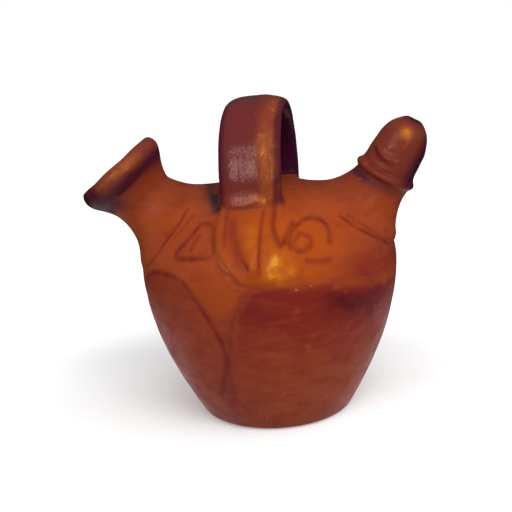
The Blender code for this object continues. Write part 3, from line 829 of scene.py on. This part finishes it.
def shoulder_masks(points):
    """The orange band round the shoulder, the dark lobes below it, and the darkest glaze along their top."""
    x, y, z = points.T
    azimuth = np.degrees(np.arctan2(y, x))
    drift = waves(points, 21, 8, 18, 45) + 0.5 * waves(points, 22, 9, 5, 12)
    lobe_top = curve_at(azimuth, LOBE_TOP)
    above = ramp(z - lobe_top + 2.2 * drift, -4.0, 5.0)
    crown = ramp(z, 124, 146)
    middle = 0.30 + 0.70 * np.maximum(bell(azimuth + 70, 29), 0.4 * bell(azimuth - 90, 60))
    red_side = ramp(azimuth, -67, -40) * (1 - ramp(azimuth, -4, 10)) * bell(z - 102, 12)
    left = ramp(curve_at(z, LEFT_LOBE_SIDE) - azimuth, -0.6, 3.0) * ramp(azimuth, -172, -150)
    centre = ramp(azimuth - curve_at(z, CENTRE_LOBE_SIDE) + 0.8 * drift, -0.5, 4.0)
    centre *= 1 - ramp(azimuth, -14, 4)
    below = 1 - ramp(z - lobe_top + 1.6 * drift, -4.0, 2.0)
    lobes = below * np.maximum(0.35 * left, centre * (0.15 + 0.85 * ramp(z, 30, 84)))
    wedge = below * (1 - left) * (1 - centre) * bell(azimuth + 108, 16) * (1 - ramp(z, 60, 108))
    dark_run = ramp(azimuth, -68, -48) * (1 - ramp(azimuth, -30, -12))
    dark_run = np.maximum(dark_run, 0.55 * bell(azimuth + 84, 9)) * (0.75 + 0.35 * drift)
    return {
        "orange": above * (1 - 0.55 * crown) * middle * (1 - 0.85 * red_side),
        "high": ramp(z + 3 * drift, 128, 150),
        "lobe": np.maximum.reduce([lobes, 0.65 * red_side, 0.70 * wedge]),
        "deep": below * centre * dark_run * bell(z - lobe_top + 7 + 2 * drift, 8),
    }


def line_masks(points):
    """Where glaze pools in lines, folds and finger marks, which of those marks are wet, and which are gold,
    most of it painted highlight.
    """
    pooled, gold, wet = np.zeros((3, len(points)))
    uneven = 0.78 + 0.22 * waves(points, 31, 7, 7, 16)
    for line, half, _, tint in DRAWN:
        here, mark = marked(points, line, 1.2 * half, 5 * half)
        pooled[here] = np.maximum(pooled[here], tint * uneven[here] * mark)
    for ring in RINGS:
        here, mark = ring_mark(points, *ring)
        pooled[here] = np.maximum(pooled[here], RING_TINT * mark)
    for corners, half, lift in NECK_MARKS:
        here, mark = marked(points, through(corners, 4), half, 5 * half)
        pooled[here] = np.maximum(pooled[here], max(0.0, -0.8 * lift) * mark)
    here = near(points, *FOOT_MARKS_BOX)
    flat = points[here][:, (0, 2)]
    for corners, half, _, tint in FOOT_MARKS:
        mark = abs(tint) * bell(distance_to_line(flat, through(corners, 4)), 1.15 * half)
        mask = pooled if tint < 0 else gold
        mask[here] = np.maximum(mask[here], mark)
    edge = bell(distance_to_line(flat, np.array(RIDGE_EDGE)), 1.0)
    pooled[here] = np.maximum(pooled[here], 0.6 * edge)
    wet[here] = bell(distance_to_line(flat, through(WET_RIDGE, 4)), 2.2)
    return {"line": pooled, "gold": gold, "wet": wet}


def strap_rim_shade_gold_masks(points, marks):
    """Strap and rim glaze; painted plum shade under and along the strap, under the lip and collar and on the
    bulb's outer side; and all gold, that of the marks included, much of it painted highlight.
    """
    x, y, z = points.T
    strap, under = np.zeros((2, len(points)))
    here = near(points, *STRAP_BOX)
    distance, out = strap_distance(points[here])
    body = SECTIONS["body"](np.hypot(x[here], y[here]), z[here])
    strap[here] = ramp(body - distance, -0.5, 3.0) * ramp(z[here], 138, 143)
    # Painted shade on the strap's inner face, under the arch
    under[here] = strap[here] * ramp(-out, -1.5, 2.5)
    across = x - handle_middle(y)
    # Painted shade along both sides of the strap
    sides = np.maximum(ramp(-across, 13.0, 17.5), ramp(across, 12.5, 15.5))
    low_strap = 1 - ramp(z, 144, 157)

    along, inward, _ = MOUTH.local(points)
    lip = ramp(along, -20, -8) * (x < -40)
    # Painted shade under the lip and on the low flare of the mouth
    low_flare = bell(along + 15.5, 5.0) * ramp(-inward, -2, 14)
    mouth_side = 0.85 * np.maximum(bell(along + 10.5, 3.6), low_flare)
    mouth_side = (x < -40) * np.maximum(mouth_side, 0.9 * lip * ramp(-inward, 5, 18))
    # Painted highlight: a gold band along the lip's upper side
    band = lip * bell(along + 2.5, 3.4) * (y < -10) * bell(z - 160, 11)

    along, inward, _ = SPOUT.local(points)
    bulb = ramp(along, -3, 2) * (x > 40)
    # Painted shade on the bulb's outer side and round its tip
    bulb_side = bulb * np.maximum(0.9 * ramp(-inward, 7, 15), 0.8 * bell(along - 37, 3.2))
    spout = ramp(x, 42, 50) * ramp(along, -16, -8)
    # Painted shade under the spout's collar
    under_collar = bell(along + 5.5, 3.2) * (0.45 + 0.55 * ramp(inward, -2, 10))
    under_collar = np.maximum(under_collar, 0.6 * bell(along + 11, 7) * ramp(-inward, 10, 17))
    spout_side = 0.8 * spout * under_collar

    # Painted highlight: gold where the warm light gleams on the strap's right side and crest
    lit = bell(across - 10.0, 4.4) * (y < 8) * (0.9 * bell(z - 171, 12) + 0.30 * bell(z - 153, 9))
    lit = np.maximum(lit, 0.6 * bell(across - 13.0, 2.5) * bell(z - 193, 5) * (y < 0))
    # Painted light: gold on the ridge below the strap's foot, where light falls on it
    ridge = bell(x - 2.5, 4.4) * ramp(z, 107, 114) * (1 - ramp(z, 131, 139)) * (y < 0)
    amber = bell(x - 12.0, 6.0) * bell(z - 118, 18) * (y < 0)
    # Painted gold highlight on the bulb
    bulb_glint = bell(np.linalg.norm(points - BULB_GLINT, axis=1), 3.4)
    return {
        # The strap's colour fades towards its right side: painted light where the light falls on that side
        "strap": strap * (1 - 0.35 * ramp(across, 2.0, 9.0) * (y < 20)) * (1 - 0.35 * low_strap),
        "rim": np.maximum(lip, 0.75 * bulb),
        # All painted plum shade, where shade falls on strap, lip, bulb and collar
        "painted_plum_shade": np.maximum.reduce([under, 0.7 * strap * sides, mouth_side, bulb_side, spout_side]),
        # Gold, painted highlight in most places
        "gold": np.maximum.reduce([marks, strap * lit, 0.45 * ridge, 0.15 * amber, bulb_glint, 0.5 * band]),
    }


def glaze_masks(points):
    """How much of each glaze colour, painted shade and painted highlight each point has, from 0 to 1."""
    masks = {**shoulder_masks(points), **line_masks(points)}
    masks.update(strap_rim_shade_gold_masks(points, masks["gold"]))
    here = near(points, *STAIN_BOX)
    masks["stain"] = np.zeros(len(points))
    masks["stain"][here] = bell(distance_to_line(points[here], through(STAIN_LINE, 4)), 4.2)
    masks["inside"] = ramp(-inner_distance(points), -1.2, -0.3)
    return {name: np.clip(mask, 0.0, 1.0) for name, mask in masks.items()}


def srgb(colour):
    """A colour given as 0-255 screen values, as linear light."""
    linear = (((v / 255 + 0.055) / 1.055) ** 2.4 if v > 10 else v / 255 / 12.92 for v in colour)
    return (*linear, 1.0)


class Nodes:
    """Short calls for building a node tree. Each input takes a socket, a number or a colour."""

    def __init__(self, tree):
        self.tree = tree

    def add(self, kind, **settings):
        node = self.tree.nodes.new(kind)
        for name, value in settings.items():
            setattr(node, name, value)
        return node

    def link(self, source, target):
        if hasattr(source, "is_output"):
            self.tree.links.new(source, target)
        else:
            target.default_value = source

    def joined(self, kind, *sources, **settings):
        """A new node with its first inputs filled in order."""
        node = self.add(kind, **settings)
        for source, target in zip(sources, node.inputs):
            self.link(source, target)
        return node

    def math(self, operation, a, b):
        return self.joined("ShaderNodeMath", a, b, operation=operation).outputs[0]

    def times(self, a, b):
        return self.math("MULTIPLY", a, b)

    def most(self, a, b):
        return self.math("MAXIMUM", a, b)

    def vector(self, operation, a, b):
        return self.joined("ShaderNodeVectorMath", a, b, operation=operation).outputs

    def mix(self, factor, a, b):
        node = self.add("ShaderNodeMix", data_type="RGBA")
        for source, socket in ((factor, 0), (a, 6), (b, 7)):
            self.link(source, node.inputs[socket])
        return node.outputs[2]

    def choose(self, factor, a, b):
        return self.joined("ShaderNodeMixShader", factor, a, b).outputs[0]

    def shader(self, kind, colour, strength=None):
        node = self.add(kind)
        node.inputs["Color"].default_value = (*colour, 1.0)
        if strength is not None:
            self.link(strength, node.inputs["Strength"])
        return node.outputs[0]

    def mask(self, name):
        return self.add("ShaderNodeAttribute", attribute_name=name).outputs["Fac"]

    def noise(self, place, scale, detail=3.0, roughness=0.55):
        node = self.add("ShaderNodeTexNoise")
        self.link(place, node.inputs["Vector"])
        for name, value in (("Scale", scale), ("Detail", detail), ("Roughness", roughness)):
            self.link(value, node.inputs[name])
        return node.outputs["Fac"]

    def spread(self, value, low, high, start=0.0, end=1.0):
        """The value taken smoothly from between low and high to between start and end."""
        return self.joined("ShaderNodeMapRange", value, low, high, start, end,
                           interpolation_type="SMOOTHSTEP").outputs["Result"]


def glaze_dots(nodes, place):
    """Light flecks and dark pits in the glaze, as covers from 0 to 1."""
    sway = nodes.add("ShaderNodeTexNoise")
    sway.inputs["Scale"].default_value = 300.0
    nodes.link(place, sway.inputs["Vector"])
    shrink = nodes.add("ShaderNodeVectorMath", operation="SCALE")
    shrink.inputs["Scale"].default_value = 0.004
    nodes.link(sway.outputs["Color"], shrink.inputs[0])
    cells = nodes.add("ShaderNodeTexVoronoi", feature="F1")
    cells.inputs["Scale"].default_value = 240.0
    nodes.link(nodes.vector("ADD", place, shrink.outputs[0])[0], cells.inputs["Vector"])
    dot = nodes.spread(cells.outputs["Distance"], 0.07, 0.18, 1.0, 0.0)
    red, green, _ = nodes.joined("ShaderNodeSeparateColor", cells.outputs["Color"]).outputs
    fleck, pit = nodes.spread(red, 0.955, 0.965), nodes.spread(green, 0.962, 0.97)
    return nodes.times(dot, fleck), nodes.times(dot, pit)


def lead_glaze():
    """Runny red-brown lead glaze: orange where thin, dark where it pools, with pits and a soft gloss, and with
    painted plum shade and painted gold highlights.
    """
    material = bpy.data.materials.new("lead_glaze")
    material.use_nodes = True
    nodes = Nodes(material.node_tree)
    clay = material.node_tree.nodes["Principled BSDF"].inputs
    place = nodes.add("ShaderNodeTexCoord").outputs["Object"]

    clouds = nodes.noise(place, 22.0, 4.0)
    blots = nodes.noise(place, 75.0, 4.0, 0.65)
    grain = nodes.noise(place, 160.0)
    fine = nodes.noise(place, 620.0, 2.0)
    level = nodes.noise(nodes.vector("MULTIPLY", place, (1.0, 1.0, 4.5))[0], 60.0, 4.0, 0.6)
    upright = nodes.noise(nodes.vector("MULTIPLY", place, (3.5, 3.5, 0.6))[0], 120.0, 4.0, 0.6)
    fleck, pit = glaze_dots(nodes, place)

    strap, rim, painted_plum_shade, inside = (nodes.mask(name) for name in ("strap", "rim", "painted_plum_shade", "inside"))
    streaks = nodes.most(nodes.spread(upright, 0.38, 0.62, 0.35, 1.0), nodes.math("SUBTRACT", 1.0, strap))
    speckled = nodes.most(nodes.spread(blots, 0.40, 0.58, 0.25, 1.0), strap)
    # Gold cover: painted highlight for the most part
    thick = nodes.mask("gold")
    gold = nodes.times(nodes.times(thick, speckled), streaks)
    covers = {
        "runs": nodes.spread(level, 0.40, 0.62, 0.0, 0.30),
        "lobe": nodes.times(nodes.mask("lobe"), nodes.spread(level, 0.3, 0.6, 0.7, 1.0)),
        "deep": nodes.mask("deep"),
        "high": nodes.times(nodes.mask("high"), 0.7),
        "orange": nodes.times(nodes.mask("orange"), nodes.spread(clouds, 0.25, 0.6, 0.85, 1.0)),
        "dark blot": nodes.spread(blots, 0.50, 0.70, 0.0, 0.28),
        "light blot": nodes.spread(blots, 0.42, 0.28, 0.0, 0.32),
        "strap": strap,
        "rim": rim,
        "painted_plum_shade": painted_plum_shade,
        "gold": gold,
        # Painted glints: bright specks within the gold
        "sparkle": nodes.times(nodes.spread(gold, 0.45, 0.95), nodes.spread(grain, 0.50, 0.64, 0.0, 0.55)),
        "line": nodes.times(nodes.mask("line"), 0.85),
        "stain": nodes.times(nodes.mask("stain"), nodes.spread(grain, 0.3, 0.55, 0.6, 1.0)),
        "inside": inside,
        "fleck": nodes.times(fleck, 0.55),
        "pit": nodes.times(pit, 0.6),
    }
    colour = nodes.mix(nodes.spread(clouds, 0.36, 0.66), srgb(GLAZE["base"]), srgb(GLAZE["thin"]))
    for name, cover in covers.items():
        colour = nodes.mix(cover, colour, srgb(GLAZE[name]))
    nodes.link(colour, clay["Base Color"])

    shiny = nodes.most(strap, nodes.most(thick, rim))
    rough = nodes.math("SUBTRACT", nodes.spread(blots, 0.30, 0.70, 0.34, 0.50), nodes.times(shiny, 0.10))
    nodes.link(nodes.math("ADD", rough, nodes.times(inside, 0.2)), clay["Roughness"])
    clay["IOR"].default_value = 1.5
    clay["Specular IOR Level"].default_value = 0.16
    coated = nodes.most(nodes.most(strap, nodes.times(rim, 0.3)), nodes.mask("wet"))
    nodes.link(nodes.times(coated, nodes.spread(painted_plum_shade, 0.0, 0.5, 0.85, 0.0)), clay["Coat Weight"])
    clay["Coat Roughness"].default_value = 0.24
    clay["Coat IOR"].default_value = 1.5

    height = nodes.times(grain, 0.5)
    marks = nodes.times(upright, strap)
    for form, share in ((fine, 0.10), (blots, 0.7), (marks, 0.9), (pit, -0.25), (fleck, 0.12)):
        height = nodes.math("ADD", height, nodes.times(form, share))
    bump = nodes.add("ShaderNodeBump")
    bump.inputs["Strength"].default_value = 0.35
    bump.inputs["Distance"].default_value = 0.0009
    nodes.link(height, bump.inputs["Height"])
    for name in ("Normal", "Coat Normal"):
        nodes.link(bump.outputs["Normal"], clay[name])
    return material


def plain_floor():
    """A wide pale floor under the jug, shown in another tone to the camera than to the clay and its gloss."""
    mesh = bpy.data.meshes.new("floor")
    corners = [(x * FLOOR_REACH, y * FLOOR_REACH, 0) for x, y in ((-1, -1), (1, -1), (1, 1), (-1, 1))]
    mesh.from_pydata(corners, [], [(0, 1, 2, 3)])
    floor = placed("floor", mesh)
    floor.location.z = -FLOOR_DROP
    material = bpy.data.materials.new("pale_floor")
    material.use_nodes = True
    material.node_tree.nodes.clear()
    nodes = Nodes(material.node_tree)
    place = nodes.add("ShaderNodeTexCoord").outputs["Object"]
    glow = FLOOR_GLOW
    for centre, inner, outer, middle in FLOOR_SHADES:
        away = nodes.vector("DISTANCE", place, centre)["Value"]
        glow = nodes.math("MINIMUM", glow, nodes.spread(away, inner, outer, middle, FLOOR_GLOW))
    painted = nodes.shader("ShaderNodeBsdfDiffuse", (FLOOR_SHADE,) * 3)
    seen = nodes.joined("ShaderNodeAddShader", painted, nodes.shader("ShaderNodeEmission", WHITE, glow))
    bounced = nodes.shader("ShaderNodeBsdfDiffuse", (FLOOR_BOUNCE,) * 3)
    away = nodes.vector("DISTANCE", place, (0.0, 0.0, 0.0))["Value"]
    gleam = nodes.shader("ShaderNodeEmission", FLOOR_GLEAM_COLOUR, nodes.spread(away, *FLOOR_GLEAM))
    rays = nodes.add("ShaderNodeLightPath").outputs
    unseen = nodes.choose(rays["Is Glossy Ray"], bounced, gleam)
    shown = nodes.choose(rays["Is Camera Ray"], unseen, seen.outputs[0])
    nodes.joined("ShaderNodeOutputMaterial", shown)
    mesh.materials.append(material)


def area_light(name, place, size, power, colour, mirrored):
    """A soft box that lights the clay, or with mirrored one that only shows as a gleam on its gloss."""
    light = bpy.data.lights.new(name, "AREA")
    light.shape = "RECTANGLE"
    light.size, light.size_y = size
    light.energy = power
    light.color = colour
    item = placed(name, light)
    item.location = place
    item.rotation_euler = (Vector(LIGHT_TARGET) - Vector(place)).to_track_quat("-Z", "Y").to_euler()
    item.visible_glossy = mirrored
    item.visible_diffuse = not mirrored


def studio():
    """White surroundings that reflect dimly, a soft key light, and two boxes that show in the gloss alone."""
    world = bpy.data.worlds.new("studio")
    bpy.context.scene.world = world
    world.use_nodes = True
    world.node_tree.nodes.clear()
    nodes = Nodes(world.node_tree)
    lit, mirrored, seen = (nodes.shader("ShaderNodeBackground", *look) for look in SURROUNDINGS)
    rays = nodes.add("ShaderNodeLightPath").outputs
    unseen = nodes.choose(rays["Is Glossy Ray"], lit, mirrored)
    nodes.joined("ShaderNodeOutputWorld", nodes.choose(rays["Is Camera Ray"], unseen, seen))
    for light in LIGHTS:
        area_light(*light)
    bpy.context.scene.view_settings.view_transform = "Standard"


def photo_camera():
    """The camera that took the photograph, as fitted to it."""
    place, target = Vector(CAMERA_PLACE) * MM, Vector(CAMERA_TARGET) * MM
    forward = (target - place).normalized()
    right = forward.cross(Vector((0, 0, 1))).normalized()
    up = right.cross(forward)
    roll = math.radians(CAMERA_ROLL)
    right, up = math.cos(roll) * right + math.sin(roll) * up, math.cos(roll) * up - math.sin(roll) * right
    camera = bpy.data.cameras.new("photo_camera")
    camera.sensor_width = SENSOR_WIDTH
    camera.lens = CAMERA_LENS
    item = placed("photo_camera", camera)
    turn = Matrix((right, up, -forward)).transposed().to_4x4()
    item.matrix_world = Matrix.Translation(place) @ turn
    bpy.context.scene.camera = item


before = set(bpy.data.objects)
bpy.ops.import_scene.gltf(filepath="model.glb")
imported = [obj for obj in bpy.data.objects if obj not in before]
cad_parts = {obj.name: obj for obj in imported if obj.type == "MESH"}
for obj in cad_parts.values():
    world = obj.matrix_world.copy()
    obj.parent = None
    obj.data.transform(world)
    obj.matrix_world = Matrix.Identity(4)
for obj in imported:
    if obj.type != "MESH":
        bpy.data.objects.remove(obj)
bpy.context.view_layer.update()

jug, jug_points = fine_jug(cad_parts["jug"])
for mask_name, values in glaze_masks(jug_points).items():
    attribute = jug.data.attributes.new(mask_name, "FLOAT", "POINT")
    attribute.data.foreach_set("value", values.astype(np.float32))
jug.data.materials.clear()
jug.data.materials.append(lead_glaze())
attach(jug, "root")
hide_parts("jug")

plain_floor()
studio()
photo_camera()
